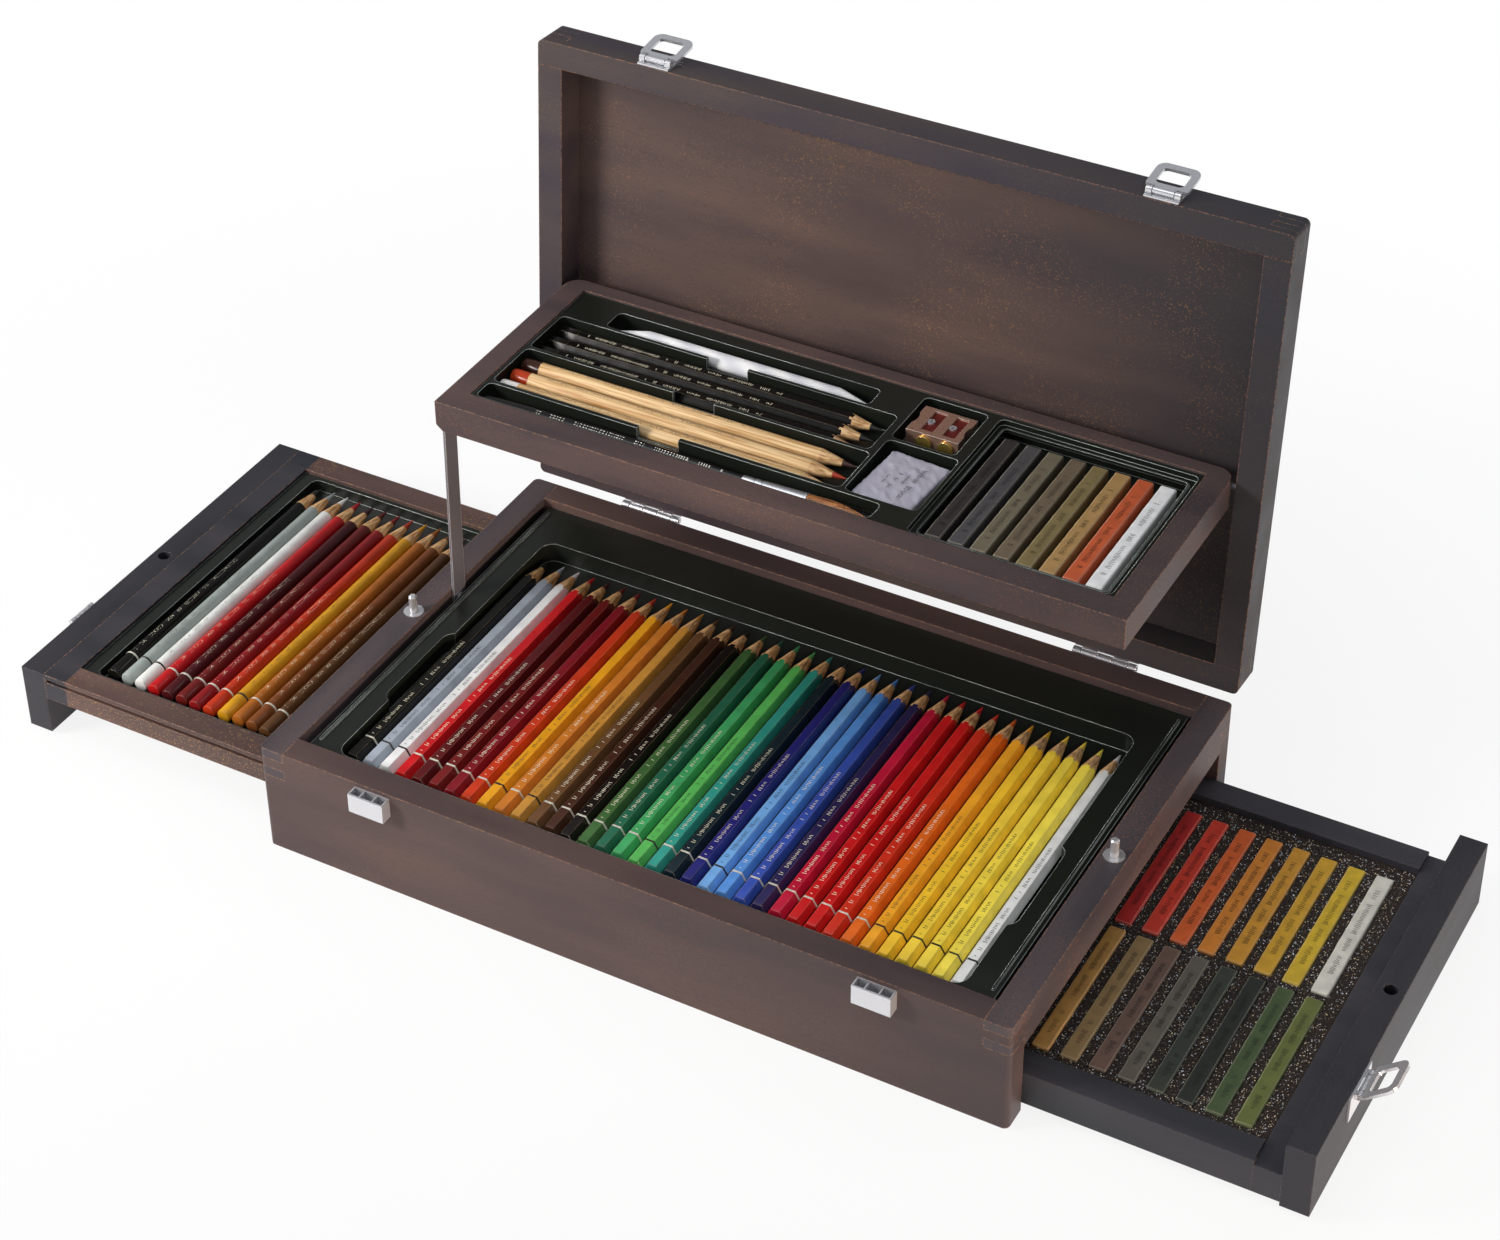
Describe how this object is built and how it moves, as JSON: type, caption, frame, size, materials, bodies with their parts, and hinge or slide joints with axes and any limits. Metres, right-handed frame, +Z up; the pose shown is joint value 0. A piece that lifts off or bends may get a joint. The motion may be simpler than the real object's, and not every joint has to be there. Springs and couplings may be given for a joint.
{
  "type": "pencil drawer box",
  "caption": "Stained wooden pencil case with a hinged lid, a lift-up tool tray on a steel arm, and two side drawers locked by pins.",
  "frame": {"origin": "centre of the case underside", "axes": "+X to the right seen from the front, +Y to the back where the hinges are, +Z up"},
  "size_m": [0.7043, 0.2993, 0.3125],
  "materials": {
    "stained_wood": "satin",
    "lid_wood": "satin",
    "bright_metal": "polished",
    "arm_steel": "brushed",
    "formed_black": "glossy",
    "black_foam": "matt",
    "barrel_neutral": "lacquered",
    "barrel_red": "lacquered",
    "barrel_earth": "lacquered",
    "barrel_green": "lacquered",
    "barrel_blue": "lacquered",
    "barrel_yellow": "lacquered",
    "barrel_black": "lacquered",
    "raw_wood": "bare",
    "white_paper": "matt",
    "ferrule_metal": "polished",
    "bristle": "matt",
    "cast_metal": "satin",
    "brass": "polished",
    "wrapped_eraser": "wrapped",
    "chalk_dark": "matt",
    "chalk_warm": "matt",
    "chalk_earth": "matt"
  },
  "bodies": {
    "case": {"case_front_wall": "stained_wood", "case_back_wall": "stained_wood", "case_left_rail": "stained_wood", "case_right_rail": "stained_wood", "case_boards": "stained_wood", "drawer_runners": "stained_wood", "main_insert": "formed_black", "pencils_neutral": "barrel_neutral", "pencils_red": "barrel_red", "pencils_earth": "barrel_earth", "pencils_green": "barrel_green", "pencils_blue": "barrel_blue", "pencils_yellow": "barrel_yellow", "catch_boxes": "bright_metal", "lock_flanges": "bright_metal", "arm_foot_pin": "bright_metal", "hinge_case_leaves": "bright_metal", "hinge_screws_case": "bright_metal"},
    "lid": {"lid_frame": "stained_wood", "lid_panel": "lid_wood", "hinge_lid_leaves": "bright_metal", "hinge_screws_lid": "bright_metal", "latch_bases": "bright_metal"},
    "latch_left": {"latch_ring_left": "bright_metal"},
    "latch_right": {"latch_ring_right": "bright_metal"},
    "lock_left": {"lock_pin_left": "bright_metal"},
    "lock_right": {"lock_pin_right": "bright_metal"},
    "arm": {"tray_arm": "arm_steel"},
    "tray": {"tray_frame": "stained_wood", "tray_bottom": "stained_wood", "tray_insert": "formed_black", "tray_pins": "bright_metal", "paper_stump": "white_paper", "black_pencils": "barrel_black", "natural_pencils": "raw_wood", "brush_handle": "barrel_black", "brush_ferrule": "ferrule_metal", "brush_bristles": "bristle", "sharpener": "cast_metal", "sharpener_collars": "brass", "kneaded_eraser": "wrapped_eraser", "tray_chalks": "chalk_dark"},
    "left_drawer": {"left_drawer_panel": "stained_wood", "left_drawer_walls": "stained_wood", "left_drawer_bottom": "stained_wood", "left_drawer_insert": "formed_black", "drawer_pencils_neutral": "barrel_neutral", "drawer_pencils_red": "barrel_red", "drawer_pencils_earth": "barrel_earth", "drawer_pencils_cool": "barrel_blue", "left_pull_base": "bright_metal"},
    "left_pull": {"left_pull_ring": "bright_metal"},
    "right_drawer": {"right_drawer_panel": "stained_wood", "right_drawer_walls": "stained_wood", "right_drawer_bottom": "stained_wood", "right_drawer_foam": "black_foam", "chalks_back_row": "chalk_warm", "chalks_front_row": "chalk_earth", "right_pull_base": "bright_metal"},
    "right_pull": {"right_pull_ring": "bright_metal"}
  },
  "joints": [
    {"name": "lid_hinge", "type": "hinge", "parent": "case", "child": "lid", "pos_m": [0, 0.1259, 0.0591], "axis": [1, 0, 0], "range_deg": [0, 94.3]},
    {"name": "arm_swing", "type": "hinge", "parent": "case", "child": "arm", "pos_m": [-0.1812, 0.02646, 0.053], "axis": [1, 0, 0], "range_deg": [0, 87]},
    {"name": "tray_level", "type": "hinge", "parent": "arm", "child": "tray", "pos_m": [-0.1812, 0.029, 0.16504], "axis": [1, 0, 0], "range_deg": [-87, 0]},
    {"name": "lock_left_slide", "type": "slide", "parent": "case", "child": "lock_left", "axis": [0, 0, -1], "range_m": [0, 0.0095]},
    {"name": "lock_right_slide", "type": "slide", "parent": "case", "child": "lock_right", "axis": [0, 0, -1], "range_m": [0, 0.0095]},
    {"name": "left_drawer_slide", "type": "slide", "parent": "case", "child": "left_drawer", "axis": [1, 0, 0], "range_m": [0, 0.1562]},
    {"name": "right_drawer_slide", "type": "slide", "parent": "case", "child": "right_drawer", "axis": [-1, 0, 0], "range_m": [0, 0.1327]},
    {"name": "latch_left_turn", "type": "hinge", "parent": "lid", "child": "latch_left", "pos_m": [-0.131, 0.14966, 0.30972], "axis": [1, 0, 0], "range_deg": [-9, 125]},
    {"name": "latch_right_turn", "type": "hinge", "parent": "lid", "child": "latch_right", "pos_m": [0.131, 0.14966, 0.30972], "axis": [1, 0, 0], "range_deg": [-9, 125]},
    {"name": "left_pull_turn", "type": "hinge", "parent": "left_drawer", "child": "left_pull", "pos_m": [-0.354, -0.0585, 0.0358], "axis": [0, -1, 0], "range_deg": [-170, 6]},
    {"name": "right_pull_turn", "type": "hinge", "parent": "right_drawer", "child": "right_pull", "pos_m": [0.3305, -0.0585, 0.0358], "axis": [0, 1, 0], "range_deg": [-48, 128]}
  ],
  "couplings": [
    {"joint": "arm_swing", "follows": "lid_hinge", "ratio": 0.92258},
    {"joint": "tray_level", "follows": "lid_hinge", "ratio": -0.92258},
    {"joint": "lock_left_slide", "follows": "lid_hinge", "m_per_rad": 0.005772},
    {"joint": "lock_right_slide", "follows": "lid_hinge", "m_per_rad": 0.005772}
  ]
}
